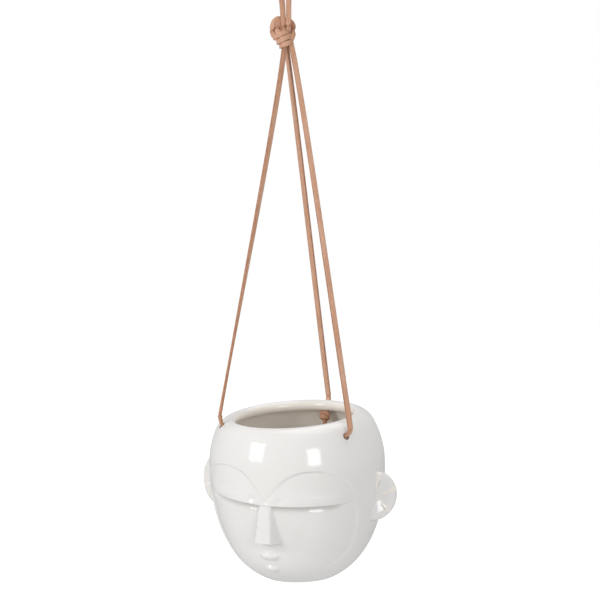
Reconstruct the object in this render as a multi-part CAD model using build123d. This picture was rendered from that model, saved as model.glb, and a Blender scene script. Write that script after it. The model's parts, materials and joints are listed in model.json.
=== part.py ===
from build123d import *
import os
from math import acos, asin, atan2, cos, degrees, hypot, radians, sin, sqrt, tan

# Hanging head planter: a glazed head-shaped pot, three leather laces, one big knot and a hanging loop.
# Everything is shaped with the pot's foot standing on z = 0 and the face looking along -Y. At the end it is
# lowered, so that the origin is the point on the hook where the loop hangs, and +Z is up.

# Pot body: a sphere above, a fuller curve down to a small flat foot below
BODY_RADIUS = 80.0
BODY_CENTRE_Z = 107.0
JAW_FULLNESS = 2.3
FOOT_RADIUS = 26.0
WALL = 5.0
FLOOR_THICKNESS = 6.0

# Mouth: a rolled bead at the end of a rounded shoulder, the whole mouth leaning towards the face
RIM_SLANT = 6.3
MOUTH_INSET = 21.5
BEAD_RADIUS = 5.0
SHOULDER_RADIUS = 18.0
SHOULDER_END_ANGLE = 78.6

# Face: sunk lids and cheeks inside one heart-shaped outline, whose points are angles round the head
# and heights. The face, the ears and the lace holes lean a little to one side, as if set on by hand.
FACE_LEAN = 4.2
BROW_ROOT_Z = 84.0
BROW_BEND_ANGLE = 15.0
BROW_BEND_Z = 105.2
BROW_TOP_ANGLE = 34.0
BROW_TOP_Z = 111.5
TEMPLE_ANGLE = 56.0
TEMPLE_Z = 101.3
MASK_ANGLE = 65.5
MASK_WIDEST_Z = 82.0
JAW_ANGLE = 67.5
JAW_Z = 50.0
LOW_JAW_ANGLE = 64.0
LOW_JAW_Z = 28.0
CHIN_ANGLE = 43.5
CHIN_Z = 14.0
CREASE_Z = 78.0
CREASE_LIFT = 6.0
BROW_ROOT_DIRECTION = (0.5, 1.0)
CHIN_DIRECTION = (-1.0, -0.7)
LID_SINK_TOP = 1.4
LID_SINK_LOW = 0.2
CHEEK_SINK = 2.8
CHEEK_SHIFT = 1.5
CHIN_FADE = 3.0
LID_EDGE_RADIUS = 1.4

# Nose: a flat-fronted wedge
NOSE_TOP_Z = 81.0
NOSE_BASE_Z = 43.5
NOSE_TOP_WIDTH = 9.0
NOSE_BASE_WIDTH = 13.0
NOSE_TOP_ROOT_WIDTH = 14.0
NOSE_BASE_ROOT_WIDTH = 27.0
NOSE_TOP_PROUD = 1.0
NOSE_BASE_PROUD = 10.0
NOSE_EDGE_RADIUS = 1.6

# Lips: two rounded pads, one above the other
UPPER_LIP_Z = 31.0
UPPER_LIP_WIDTH = 24.0
UPPER_LIP_HEIGHT = 12.0
LOWER_LIP_Z = 18.5
LOWER_LIP_WIDTH = 17.0
LOWER_LIP_HEIGHT = 10.0
LIP_PROUD = 4.5

# Ears: upright oval plates with a scooped front
EAR_PROUD = 14.8
EAR_CENTRE_Z = 84.0
EAR_HEIGHT = 45.0
EAR_HALF_WIDTH = 21.0
EAR_THICKNESS = 10.0
EAR_SET_BACK = 5.0
EAR_LEAN = 14.0
EAR_SWEEP = 35.0
EAR_EDGE_RADIUS = 4.0
EAR_SCOOP_DEPTH = 2.2
EAR_SCOOP_MARGIN = 7.5
EAR_SCOOP_SHIFT = 2.5

# Laces: flat square-edged leather thong through three holes under the shoulder
LACE_WIDTH = 4.8
LACE_THICKNESS = 2.6
HOLE_RADIUS = 3.3
HOLE_RISE = 37.7
HOLE_STEEPNESS = 1.6
FRONT_HOLE_ANGLE = 59.0
BACK_HOLE_ANGLE = 176.0
HOLE_ANGLES = {"left": -FRONT_HOLE_ANGLE, "back": BACK_HOLE_ANGLE, "right": FRONT_HOLE_ANGLE}
LACE_STAND_OFF = 5.5
LEG_SPREAD = 3.2

# Stopper knots inside the pot, each with a short tail
STOPPER_DIAMETER = 11.0
STOPPER_HEIGHT = 10.0
STOPPER_SLANT = 24.0
STOPPER_SEAT = 3.2
TAIL_LENGTH = 15.0

# Hanging knot, and the laces' ends that show above and below it
KNOT_FOOT_Z = 482.0
STUB_LENGTH = 3.0
KNOT_HEIGHT = 25.0
KNOT_WIDTH = 19.0
KNOT_WRAPS = 3
WRAP_PITCH = 5.0
WRAP_DROP = 6.5
WRAP_SLANT = 26.0
CROWN_FOLDS = 2
CROWN_RADIUS = 6.2
CROWN_SET_OFF = 3.0
TURN_GAP = 0.3

# Hanging loop
STRAND_SPACING = 5.8
LOOP_HEIGHT = 50.0
HOOK_DIAMETER = 10.0
FOLD_ARC = 100.0


def polar(centre, radius, angle):
    """The point at that distance and angle from a centre, in a flat profile."""
    return (centre[0] + radius * cos(radians(angle)), centre[1] + radius * sin(radians(angle)))


def jaw_depth(radius):
    """How far below the body's centre its lower curve would end, so that it meets the foot's edge."""
    return BODY_CENTRE_Z / (1 - (FOOT_RADIUS / radius) ** JAW_FULLNESS) ** (1 / JAW_FULLNESS)


def jaw_radius(radius, depth, z):
    """The lower curve's radius at a height."""
    return radius * (1 - ((BODY_CENTRE_Z - z) / depth) ** JAW_FULLNESS) ** (1 / JAW_FULLNESS)


def jaw_curve(radius, depth, low_z):
    """The lower curve from the body's widest ring down to low_z."""
    low = asin(((BODY_CENTRE_Z - low_z) / depth) ** (JAW_FULLNESS / 2))
    steps = 9
    points = []
    for i in range(steps + 1):
        t = low * i / steps
        r = radius * cos(t) ** (2 / JAW_FULLNESS)
        z = BODY_CENTRE_Z - depth * sin(t) ** (2 / JAW_FULLNESS)
        points.append((r, z))
    return points


def body_solid(radius, depth, low_z):
    """A solid of the body's outer form, or of the same form sunk inwards, with a full sphere above."""
    points = jaw_curve(radius, depth, low_z)
    side = Spline(*points, tangents=[(0, -1), Vector(*points[-1]) - Vector(*points[-2])])
    dome = CenterArc((0, BODY_CENTRE_Z), radius, 0, 90)
    floor = Polyline(points[-1], (0, low_z), (0, BODY_CENTRE_Z + radius))
    return revolve(Plane.XZ * make_face([side, dome, floor]), Axis.Z)


BODY_DEPTH = jaw_depth(BODY_RADIUS)
SLANTED = Location((0, 0, BODY_CENTRE_Z), (RIM_SLANT, 0, 0))
LEANED = Pos(0, 0, BODY_CENTRE_Z) * Rot(0, FACE_LEAN, 0) * Pos(0, 0, -BODY_CENTRE_Z)


def slanted_plane(rise):
    """The plane square to the mouth's axis, that far above the body's centre."""
    place = SLANTED * Location((0, 0, rise))
    return Plane(place)


def shoulder_arc():
    """The centres of the shoulder's arc and of the bead inside its end, and the angle where the arc starts.

    The shoulder's arc touches the body's sphere from inside, and the bead's circle touches the shoulder's.
    """
    near = BODY_RADIUS - SHOULDER_RADIUS
    apart = SHOULDER_RADIUS - BEAD_RADIUS
    crest_radius = BODY_RADIUS - MOUTH_INSET
    lift = degrees(acos((crest_radius - apart * cos(radians(SHOULDER_END_ANGLE))) / near))
    centre = polar((0, 0), near, lift)
    return centre, polar(centre, apart, SHOULDER_END_ANGLE), lift


def pot_outside():
    """The head's outer form up to the bead's crest, with no face yet."""
    centre, bead, lift = shoulder_arc()
    over = SHOULDER_END_ANGLE
    start, crest = polar(centre, SHOULDER_RADIUS, lift), polar(bead, BEAD_RADIUS, 90)
    below = split(body_solid(BODY_RADIUS, BODY_DEPTH, 0), slanted_plane(start[1]), keep=Keep.BOTTOM)
    shoulder = CenterArc(centre, SHOULDER_RADIUS, lift, over - lift)
    roll = CenterArc(bead, BEAD_RADIUS, over, 90 - over)
    core = Polyline(crest, (0, crest[1]), (0, start[1]), start)
    cap = revolve(Plane.XZ * make_face([shoulder, roll, core]), Axis.Z)
    return below + SLANTED * cap


def pot_cavity():
    """The hollow inside the wall, with the throat that the bead leaves open."""
    centre, bead, lift = shoulder_arc()
    inner = BODY_RADIUS - WALL
    bend = SHOULDER_RADIUS - WALL
    seam_rise = inner * sin(radians(lift)) - WALL / 2
    seam_lift = degrees(asin(seam_rise / inner))
    apart = SHOULDER_RADIUS - BEAD_RADIUS
    between = degrees(acos((bend**2 + apart**2 - BEAD_RADIUS**2) / (2 * bend * apart)))
    meet = SHOULDER_END_ANGLE - between
    corner = polar(centre, bend, meet)
    bead_start = degrees(atan2(corner[1] - bead[1], corner[0] - bead[0]))
    below = split(body_solid(inner, BODY_DEPTH - WALL, FLOOR_THICKNESS), slanted_plane(seam_rise),
                  keep=Keep.BOTTOM)
    side = CenterArc((0, 0), inner, seam_lift, lift - seam_lift)
    turn = CenterArc(centre, bend, lift, meet - lift)
    roll = CenterArc(bead, BEAD_RADIUS, bead_start, -270 - bead_start)
    crest = polar(bead, BEAD_RADIUS, 90)
    top = crest[1] + 2 * BEAD_RADIUS
    core = Polyline(crest, (crest[0], top), (0, top), (0, seam_rise), polar((0, 0), inner, seam_lift))
    neck = revolve(Plane.XZ * make_face([side, turn, roll, core]), Axis.Z)
    return below + SLANTED * neck


def toward_face(outline):
    """A prism of a flat outline, seen from the front, that reaches past the face."""
    return extrude(Plane((0, 0, 0), x_dir=(1, 0, 0), z_dir=(0, -1, 0)) * make_face(outline), 2 * BODY_RADIUS)


def crease_line():
    """The nearly level crease under the lids, from the outline's left edge to its right."""
    lift = CREASE_Z + CREASE_LIFT
    return ThreePointArc((-BODY_RADIUS, lift), (0, CREASE_Z), (BODY_RADIUS, lift))


def on_head(angle, z):
    """The point of the head at that angle from the face's middle and that height, seen from the front."""
    return (body_radius_at(z) * sin(radians(angle)), z)


def mask_side(side):
    """One half of the face's outline. Its brow and temple lean with the face, its jaw stands on the head."""
    points = []
    for angle, z in ((0, BROW_ROOT_Z), (BROW_BEND_ANGLE, BROW_BEND_Z), (BROW_TOP_ANGLE, BROW_TOP_Z),
                     (TEMPLE_ANGLE, TEMPLE_Z), (MASK_ANGLE, MASK_WIDEST_Z)):
        out, up = on_head(side * angle, z)
        leaned = (LEANED * Pos(out, 0, up)).position
        points.append((leaned.X, leaned.Z))
    for angle, z in ((JAW_ANGLE, JAW_Z), (LOW_JAW_ANGLE, LOW_JAW_Z), (CHIN_ANGLE, CHIN_Z)):
        points.append(on_head(side * angle, z))
    directions = [(side * out, up) for out, up in (BROW_ROOT_DIRECTION, CHIN_DIRECTION)]
    return Spline(*points, tangents=directions)


def mask_prism():
    """The whole heart-shaped outline of the face."""
    right, left = mask_side(1), mask_side(-1)
    return toward_face([right, Line(right @ 1, left @ 1), left])


def ring_form(high, mid, low):
    """A solid of revolution whose side is an arc through three (radius, height) points."""
    side = ThreePointArc(high, mid, low)
    core = Polyline(low, (0, low[1]), (0, high[1]), high)
    return revolve(Plane.XZ * make_face([side, core]), Axis.Z)


def body_radius_at(z):
    """The plain head's radius at a height."""
    if z >= BODY_CENTRE_Z:
        return sqrt(BODY_RADIUS**2 - (z - BODY_CENTRE_Z) ** 2)
    return jaw_radius(BODY_RADIUS, BODY_DEPTH, z)


def face_pockets():
    """What is carved away to sink the lids and the cheeks inside the mask's outline."""
    mask = mask_prism()
    edge = BODY_RADIUS
    lift = CREASE_Z + CREASE_LIFT
    high, low = BROW_TOP_Z + WALL, CHIN_Z - WALL
    above = toward_face([crease_line(), Polyline((edge, lift), (edge, high), (-edge, high), (-edge, lift))])
    below = toward_face([crease_line(), Polyline((edge, lift), (edge, low), (-edge, low), (-edge, lift))])
    above, below = LEANED * above, LEANED * below
    mid = (BROW_TOP_Z + CREASE_Z) / 2
    lids = ring_form((body_radius_at(high) - LID_SINK_TOP, high), (body_radius_at(mid) - LID_SINK_LOW, mid),
                     (body_radius_at(CREASE_Z - WALL) - LID_SINK_LOW, CREASE_Z - WALL))
    cheeks = body_solid(BODY_RADIUS - CHEEK_SINK + CHEEK_SHIFT, BODY_DEPTH + CHIN_FADE, CHIN_Z / 2)
    cheeks = Pos(0, CHEEK_SHIFT, 0) * cheeks
    return (mask & above) - lids, (mask & below) - cheeks


def is_lid_edge(edge):
    """Whether an edge is the lower edge of the two lids, which runs across the whole face over the crease."""
    middle = edge @ 0.5
    lid_front = body_radius_at(CREASE_Z) - LID_SINK_LOW
    across = edge.length > 2 * BODY_RADIUS
    return across and abs(middle.Y + lid_front) < LID_SINK_TOP and abs(middle.Z - CREASE_Z) < LID_SINK_TOP


def nose_solid():
    """The wedge of the nose, from under the crease to its flat base."""
    sections = []
    for z, front, root, proud in (
        (NOSE_TOP_Z, NOSE_TOP_WIDTH, NOSE_TOP_ROOT_WIDTH, NOSE_TOP_PROUD - CHEEK_SINK),
        (NOSE_BASE_Z, NOSE_BASE_WIDTH, NOSE_BASE_ROOT_WIDTH, NOSE_BASE_PROUD - CHEEK_SINK),
    ):
        tip = body_radius_at(z) + proud
        back = body_radius_at(z) - CHEEK_SINK - WALL / 2
        outline = Polyline((-front / 2, -tip), (front / 2, -tip), (root / 2, -back), (-root / 2, -back),
                           close=True)
        sections.append(Plane((0, 0, z)) * make_face(outline))
    nose = loft(sections, ruled=True)
    sharp = [e for e in nose.edges() if (e @ 0.5).Y < -body_radius_at((e @ 0.5).Z)]
    return fillet(sharp, NOSE_EDGE_RADIUS)


def oval(width, depth, height):
    """An ellipsoid of those three sizes."""
    return scale(Sphere(1), by=(width / 2, depth / 2, height / 2))


def lip_solids():
    """The two lips, pressed together."""
    lips = []
    for z, width, height in (
        (UPPER_LIP_Z, UPPER_LIP_WIDTH, UPPER_LIP_HEIGHT),
        (LOWER_LIP_Z, LOWER_LIP_WIDTH, LOWER_LIP_HEIGHT),
    ):
        front = body_radius_at(z) - CHEEK_SINK + LIP_PROUD
        lips.append(Pos(0, -front + width / 2, z) * oval(width, width, height))
    return lips


def ear_solid(side):
    """One ear: an upright oval plate swept back from the cheek, with a rounded edge and a scooped front."""
    plate = extrude(Plane.XZ * Ellipse(EAR_HALF_WIDTH, EAR_HEIGHT / 2), EAR_THICKNESS / 2, both=True)
    plate = fillet(plate.edges(), EAR_EDGE_RADIUS)
    scoop_width = 2 * (EAR_HALF_WIDTH - EAR_SCOOP_MARGIN)
    scoop_height = EAR_HEIGHT - 2 * EAR_SCOOP_MARGIN
    scoop = oval(scoop_width, 2 * EAR_SCOOP_DEPTH, scoop_height)
    plate -= Pos(EAR_SCOOP_SHIFT, -EAR_THICKNESS / 2, 0) * scoop
    turned = Rot(0, 0, EAR_SWEEP) * Pos(-EAR_HALF_WIDTH, 0, 0) * Rot(0, EAR_LEAN, 0) * plate
    ear = Pos(BODY_RADIUS + EAR_PROUD, EAR_SET_BACK, EAR_CENTRE_Z) * turned
    return ear if side > 0 else mirror(ear, Plane.YZ)


def pot_solid():
    """The glazed pot: head, face, ears, rolled rim, hollow and lace holes."""
    head = pot_outside()
    for pocket in face_pockets():
        head -= pocket
    lid_edges = [e for e in head.edges() if is_lid_edge(e)]
    head = fillet(lid_edges, LID_EDGE_RADIUS)
    head += LEANED * nose_solid()
    for lip in lip_solids():
        head += LEANED * lip
    head += LEANED * ear_solid(1) + LEANED * ear_solid(-1)
    return head - pot_cavity()


def hole_point(turn, depth):
    """The point on one lace hole's axis that lies that deep under the pot's surface.

    A hole in the shoulder is drilled steeper than square to the surface, so that the stopper knot inside
    clears the rim's bead.
    """
    lift = degrees(asin(HOLE_RISE / BODY_RADIUS))
    out, up = polar((0, 0), BODY_RADIUS, lift)
    aim = LEANED * SLANTED * Pos(out * sin(radians(turn)), -out * cos(radians(turn)), up)
    aim = (SLANTED.inverse() * aim).position
    level = hypot(aim.X, aim.Y)
    rise = degrees(atan2(aim.Z, level))
    surface, angle = polar((0, 0), BODY_RADIUS, rise), rise
    shoulder, _, shoulder_start = shoulder_arc()
    if rise > shoulder_start:
        near = BODY_RADIUS - SHOULDER_RADIUS
        along = near * cos(radians(rise - shoulder_start))
        surface = polar((0, 0), along + sqrt(SHOULDER_RADIUS**2 - near**2 + along**2), rise)
        square = degrees(atan2(surface[1] - shoulder[1], surface[0] - shoulder[0]))
        angle = rise + HOLE_STEEPNESS * (square - rise)
    far, high = polar(surface, -depth, angle)
    return (SLANTED * Pos(aim.X / level * far, aim.Y / level * far, high)).position


def hole_drill(turn):
    """The round hole through the wall for one lace."""
    inner, outer = hole_point(turn, 2 * WALL), hole_point(turn, -WALL)
    along = outer - inner
    return Plane(inner, z_dir=along) * extrude(Circle(HOLE_RADIUS), along.length)


def thong(route, across):
    """A flat thong along a route. across is the direction of its width at the route's start."""
    start = Plane(route @ 0, x_dir=across, z_dir=route % 0)
    solid = sweep(start * Rectangle(LACE_WIDTH, LACE_THICKNESS), path=route)
    print(f"thong {route.length:.1f} mm long, its volume over section times length"
          f" {solid.volume / (LACE_WIDTH * LACE_THICKNESS * route.length):.4f}")
    return solid


def corner_radii(points):
    """For each inner point, 0.45 of the shorter run beside it over the tangent of half the turn."""
    radii = []
    for before, here, after in zip(points, points[1:], points[2:]):
        first, second = Vector(here) - Vector(before), Vector(after) - Vector(here)
        turn = first.get_angle(second)
        radii.append(0.45 * min(first.length, second.length) / tan(radians(turn / 2)))
    return radii


def leg_directions(turn):
    """The level directions outwards at a hole and across the lace there."""
    out = Vector(sin(radians(turn)), -cos(radians(turn)), 0)
    across = Vector(cos(radians(turn)), sin(radians(turn)), 0)
    return out, across


def leg_top(turn, knot_y, z):
    """Where one lace's middle crosses a level near the knot."""
    out, _ = leg_directions(turn)
    return Vector(0, knot_y, z) + out * LEG_SPREAD


def lace_leg(turn, knot_y):
    """One lace from the knot's foot, straight down and through its hole to the stopper knot's face."""
    top = leg_top(turn, knot_y, KNOT_FOOT_Z + LACE_WIDTH)
    bend = hole_point(turn, -LACE_STAND_OFF)
    end = hole_point(turn, WALL + STOPPER_SEAT)
    across = (bend - top).cross(end - bend).normalized()
    points = [top, bend, end]
    radii = corner_radii(points)
    print("bend radii", [round(r, 1) for r in radii])
    lace = thong(FilletPolyline(*points, radius=radii), across)
    return split(lace, Plane((0, 0, KNOT_FOOT_Z - TURN_GAP)), keep=Keep.BOTTOM)


def wrap(radius, thickness, width):
    """One turn of thong, lying level round the origin."""
    band = Plane.XZ * Pos(radius, 0) * Rectangle(thickness, width)
    return revolve(band, Axis.Z)


def stopper_knot(turn):
    """A stopper knot against the inner wall: a wrapped ball, cut flat where the lace enters, and its tail."""
    seat = hole_point(turn, WALL + STOPPER_SEAT)
    outward = (hole_point(turn, 0) - seat).normalized()
    _, across = leg_directions(turn)
    middle = seat - outward * (STOPPER_HEIGHT / 2)
    frame = Location(Plane(middle, x_dir=across, z_dir=outward))
    ball = oval(STOPPER_DIAMETER - LACE_THICKNESS, STOPPER_DIAMETER - LACE_THICKNESS, STOPPER_HEIGHT)
    ring = wrap((STOPPER_DIAMETER - LACE_THICKNESS) / 2, LACE_THICKNESS, LACE_WIDTH)
    knot = frame * (ball + Rot(0, STOPPER_SLANT, 0) * ring)
    seat_plane = Plane(seat, z_dir=outward)
    knot = split(knot, seat_plane, keep=Keep.BOTTOM)
    tail_end = middle - Vector(0, 0, STOPPER_HEIGHT / 2 + TAIL_LENGTH)
    return knot + thong(Line(middle, tail_end), across)


def hanging_knot(knot_y):
    """The big knot: slanted wraps round a core, folds over its crown, and the laces' ends above and below."""
    low = KNOT_FOOT_Z + STUB_LENGTH
    middle = low + KNOT_HEIGHT / 2
    core_width = KNOT_WIDTH - 2 * LACE_THICKNESS
    knot = oval(core_width + LACE_THICKNESS, core_width + LACE_THICKNESS, KNOT_HEIGHT)
    for i in range(KNOT_WRAPS):
        radius = (core_width + LACE_THICKNESS) / 2 - (LACE_THICKNESS / 2 if i == 0 else 0)
        ring = wrap(radius, LACE_THICKNESS, LACE_WIDTH)
        knot += Pos(0, 0, i * WRAP_PITCH - WRAP_DROP) * Rot(0, -WRAP_SLANT, 0) * ring
    for i in range(CROWN_FOLDS):
        fold = Rot(90, 0, 0) * wrap(CROWN_RADIUS, LACE_THICKNESS, LACE_WIDTH)
        place = Pos(-CROWN_SET_OFF, (i - (CROWN_FOLDS - 1) / 2) * LACE_WIDTH, KNOT_HEIGHT / 2 - CROWN_RADIUS)
        knot += place * fold
    knot = Pos(0, knot_y, middle) * knot
    for turn in HOLE_ANGLES.values():
        _, across = leg_directions(turn)
        end = leg_top(turn, knot_y, KNOT_FOOT_Z)
        knot += thong(Line(end, Vector(end.X, end.Y, middle)), across)
    for side in (-1, 1):
        foot = Vector(side * STRAND_SPACING / 2, knot_y, middle)
        knot += thong(Line(foot, Vector(foot.X, foot.Y, loop_foot_z())), (0, 1, 0))
    return knot


def loop_foot_z():
    """The level where the loop's strands leave the knot."""
    return KNOT_FOOT_Z + KNOT_HEIGHT + 2 * STUB_LENGTH


def hook_centre(knot_y):
    """The middle of the round hook that the loop hangs on."""
    return Vector(0, knot_y, loop_foot_z() + LOOP_HEIGHT - HOOK_DIAMETER / 2)


def loop_fold(knot_y):
    """The top of the loop, bent round the hook."""
    bend = (HOOK_DIAMETER + LACE_THICKNESS) / 2
    centre = hook_centre(knot_y)
    flat = Plane(centre, x_dir=(1, 0, 0), z_dir=(0, -1, 0))
    arc = flat * CenterArc((0, 0), bend, 90 - FOLD_ARC / 2, FOLD_ARC)
    return thong(arc, (0, 1, 0))


def loop_strands(knot_y):
    """The loop's two strands, from the ends of the fold round the hook's sides and down to the knot."""
    bend = (HOOK_DIAMETER + LACE_THICKNESS) / 2
    centre = hook_centre(knot_y)
    flat = Plane(centre, x_dir=(1, 0, 0), z_dir=(0, -1, 0))
    foot = (STRAND_SPACING / 2, loop_foot_z() - centre.Z)
    leave = degrees(atan2(foot[1], foot[0])) + degrees(acos(bend / hypot(*foot)))
    arc = CenterArc((0, 0), bend, 90 - FOLD_ARC / 2, leave - 90 + FOLD_ARC / 2)
    strand = thong(flat * Wire([arc, Line(arc @ 1, foot)]), (0, 1, 0))
    level = Plane((0, 0, loop_foot_z()))
    strand = split(strand, level, keep=Keep.TOP)
    return strand + mirror(strand, Plane.YZ)


if __name__ == "__main__":
    os.makedirs("parts", exist_ok=True)
    pot = pot_solid()
    for turn in HOLE_ANGLES.values():
        pot -= hole_drill(turn)
    mass_centre = pot.center(CenterOf.MASS)
    knot_y = mass_centre.Y
    parts = {"pot": pot, "hanging_knot": hanging_knot(knot_y)}
    parts["loop_fold"] = loop_fold(knot_y)
    parts["loop_strands"] = loop_strands(knot_y)
    for side, turn in HOLE_ANGLES.items():
        parts[f"lace_{side}"] = lace_leg(turn, knot_y)
        parts[f"stopper_knot_{side}"] = stopper_knot(turn)
    hang_point = hook_centre(knot_y) + Vector(0, 0, HOOK_DIAMETER / 2)
    print("pot volume", round(pot.volume), "centre of mass", mass_centre, "hang point", hang_point)
    for name, solid in parts.items():
        print(name, "solids", len(solid.solids()), "valid", solid.is_valid, "volume", round(solid.volume, 1))
        export_step(Pos(-hang_point) * solid, f"parts/{name}.step")
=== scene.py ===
# %% [markdown]
# # A hanging planter in the shape of a head
#
# The real thing is a slip-cast, white-glazed clay pot, taken to be about 19 cm wide over its ears.
# Three flat leather laces carry it. They run up through three holes under the rim, each held inside by
# a small knot, and meet half a metre above the foot in one big knot, from which a leather loop goes
# over a ceiling hook.
#
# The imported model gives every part's place and movement, and these cells dress it. The origin is the
# top of the hook, Z points up and the face looks along -Y. All sizes are in metres.

# %% Load the frame
import json
from math import acos, asin, atan2, cos, degrees, pi, radians, sin

import bpy
import numpy as np
from mathutils import Matrix, Vector

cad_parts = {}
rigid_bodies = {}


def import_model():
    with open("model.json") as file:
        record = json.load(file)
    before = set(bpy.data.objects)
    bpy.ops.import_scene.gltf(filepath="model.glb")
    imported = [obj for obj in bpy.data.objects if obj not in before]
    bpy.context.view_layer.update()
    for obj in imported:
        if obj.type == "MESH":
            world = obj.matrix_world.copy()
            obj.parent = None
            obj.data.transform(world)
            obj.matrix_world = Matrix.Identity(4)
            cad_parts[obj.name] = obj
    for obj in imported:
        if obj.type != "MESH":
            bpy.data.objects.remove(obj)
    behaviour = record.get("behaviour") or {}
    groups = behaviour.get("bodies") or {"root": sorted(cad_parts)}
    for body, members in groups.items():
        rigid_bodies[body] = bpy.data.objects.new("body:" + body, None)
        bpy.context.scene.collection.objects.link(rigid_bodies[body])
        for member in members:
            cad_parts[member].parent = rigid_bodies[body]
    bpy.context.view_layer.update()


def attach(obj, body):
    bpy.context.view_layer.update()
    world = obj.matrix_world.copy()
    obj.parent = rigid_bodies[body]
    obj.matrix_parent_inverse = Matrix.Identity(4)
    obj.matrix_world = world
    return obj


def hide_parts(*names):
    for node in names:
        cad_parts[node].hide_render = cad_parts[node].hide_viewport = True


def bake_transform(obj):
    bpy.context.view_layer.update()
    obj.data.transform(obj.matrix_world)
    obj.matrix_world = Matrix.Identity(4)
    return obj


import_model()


def make_active(piece):
    """Select one object alone, as the one that the next operator works on."""
    bpy.ops.object.select_all(action="DESELECT")
    piece.select_set(True)
    bpy.context.view_layer.objects.active = piece


def write_values(mesh, name, values):
    """Store one number a point."""
    attribute = mesh.attributes.new(name, "FLOAT", "POINT")
    attribute.data.foreach_set("value", np.asarray(values, np.float32))


def path_length(path):
    """The length of a line through points."""
    return sum((b - a).length for a, b in zip(path, path[1:]))


bpy.ops.object.select_all(action="DESELECT")
KNOT_Y = 0.0033717
FOOT_Z = -0.563
BODY_CENTRE = Vector((0, -KNOT_Y, FOOT_Z + 0.107))

# %% [markdown]
# ## The camera
#
# The photograph is taken from a little to the head's left and slightly above, with a long lens, so that
# the laces hardly converge. The picture also leans by less than two degrees, which the camera's roll
# follows, because the laces must stay plumb in the model.

# %% Camera
CAMERA_AZIMUTH = 21.03
CAMERA_ELEVATION = 7.68
CAMERA_DISTANCE = 2.02
CAMERA_TURN = -0.20
CAMERA_PITCH = 3.507
CAMERA_ROLL = -1.72
LENS = 132.5


def from_head(azimuth, elevation, distance):
    """A point that far from the middle of the head, in a direction given in degrees."""
    across, up = radians(azimuth), radians(elevation)
    way = Vector((sin(across) * cos(up), -cos(across) * cos(up), sin(up)))
    return BODY_CENTRE + distance * way


def photograph_camera():
    """A camera that stands and looks as the photographer's did."""
    turn, pitch, roll = (radians(a) for a in (CAMERA_AZIMUTH + CAMERA_TURN, CAMERA_PITCH, CAMERA_ROLL))
    look = Vector((-sin(turn) * cos(pitch), cos(turn) * cos(pitch), -sin(pitch)))
    level = look.cross(Vector((0, 0, 1))).normalized()
    upright = level.cross(look)
    right = level * cos(roll) + upright * sin(roll)
    up = upright * cos(roll) - level * sin(roll)
    place = Matrix((right, up, -look)).transposed().to_4x4()
    place.translation = from_head(CAMERA_AZIMUTH, CAMERA_ELEVATION, CAMERA_DISTANCE)
    bpy.ops.object.camera_add()
    camera = bpy.context.object
    camera.name = "photograph_camera"
    camera.matrix_world = place
    camera.data.sensor_width = 36
    camera.data.lens = LENS
    camera.data.clip_end = 30
    bpy.context.scene.camera = camera
    return camera


camera = photograph_camera()
print("camera at", [round(c, 3) for c in camera.location])

# %% [markdown]
# ## Leather
#
# The laces are flat thongs cut from vegetable-tanned hide. The grain side is smooth and pale, the cut
# edges are darker and fuzzier, and the colour drifts along the length. Each thong's mesh carries one
# attribute, which says how near a point is to a cut edge; the knot cores carry it at full all over, so
# that they are painted in the dark edge colour as shade in the knot's gaps. The grain reads Object
# coordinates.

# %% Node helpers
def new_material(name):
    """An empty node material with a Principled surface."""
    material = bpy.data.materials.new(name)
    material.use_nodes = True
    return material, material.node_tree, material.node_tree.nodes["Principled BSDF"]


def grain_noise(tree, scale, detail, stretch=(1, 1, 1)):
    """A noise over the object's own coordinates, stretched as asked."""
    place = tree.nodes.new("ShaderNodeTexCoord")
    mapping = tree.nodes.new("ShaderNodeMapping")
    mapping.inputs["Scale"].default_value = stretch
    noise = tree.nodes.new("ShaderNodeTexNoise")
    noise.inputs["Scale"].default_value = scale
    noise.inputs["Detail"].default_value = detail
    tree.links.new(place.outputs["Object"], mapping.inputs["Vector"])
    tree.links.new(mapping.outputs["Vector"], noise.inputs["Vector"])
    return noise.outputs["Fac"]


def ramp(tree, fac, stops):
    """Colours along a factor. stops are (place, red, green, blue)."""
    node = tree.nodes.new("ShaderNodeValToRGB")
    while len(node.color_ramp.elements) < len(stops):
        node.color_ramp.elements.new(1)
    for element, (place, *colour) in zip(node.color_ramp.elements, stops):
        element.position = place
        element.color = (*colour, 1)
    tree.links.new(fac, node.inputs["Fac"])
    return node.outputs["Color"]


def mix_colours(tree, fac, first, second, blend="MIX"):
    """One colour over another by a factor, which is a socket or a number."""
    node = tree.nodes.new("ShaderNodeMix")
    node.data_type, node.blend_type = "RGBA", blend
    for socket, value in ((node.inputs[0], fac), (node.inputs[6], first), (node.inputs[7], second)):
        if isinstance(value, bpy.types.NodeSocket):
            tree.links.new(value, socket)
        else:
            socket.default_value = value
    return node.outputs[2]


def bump(tree, height, distance, strength=1.0, normal=None):
    """A bump in metres from a height."""
    node = tree.nodes.new("ShaderNodeBump")
    node.inputs["Distance"].default_value = distance
    node.inputs["Strength"].default_value = strength
    tree.links.new(height, node.inputs["Height"])
    if normal is not None:
        tree.links.new(normal, node.inputs["Normal"])
    return node.outputs["Normal"]


def attribute_value(tree, name):
    """A point attribute of the mesh, as a number."""
    node = tree.nodes.new("ShaderNodeAttribute")
    node.attribute_name = name
    return node.outputs["Fac"]


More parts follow.
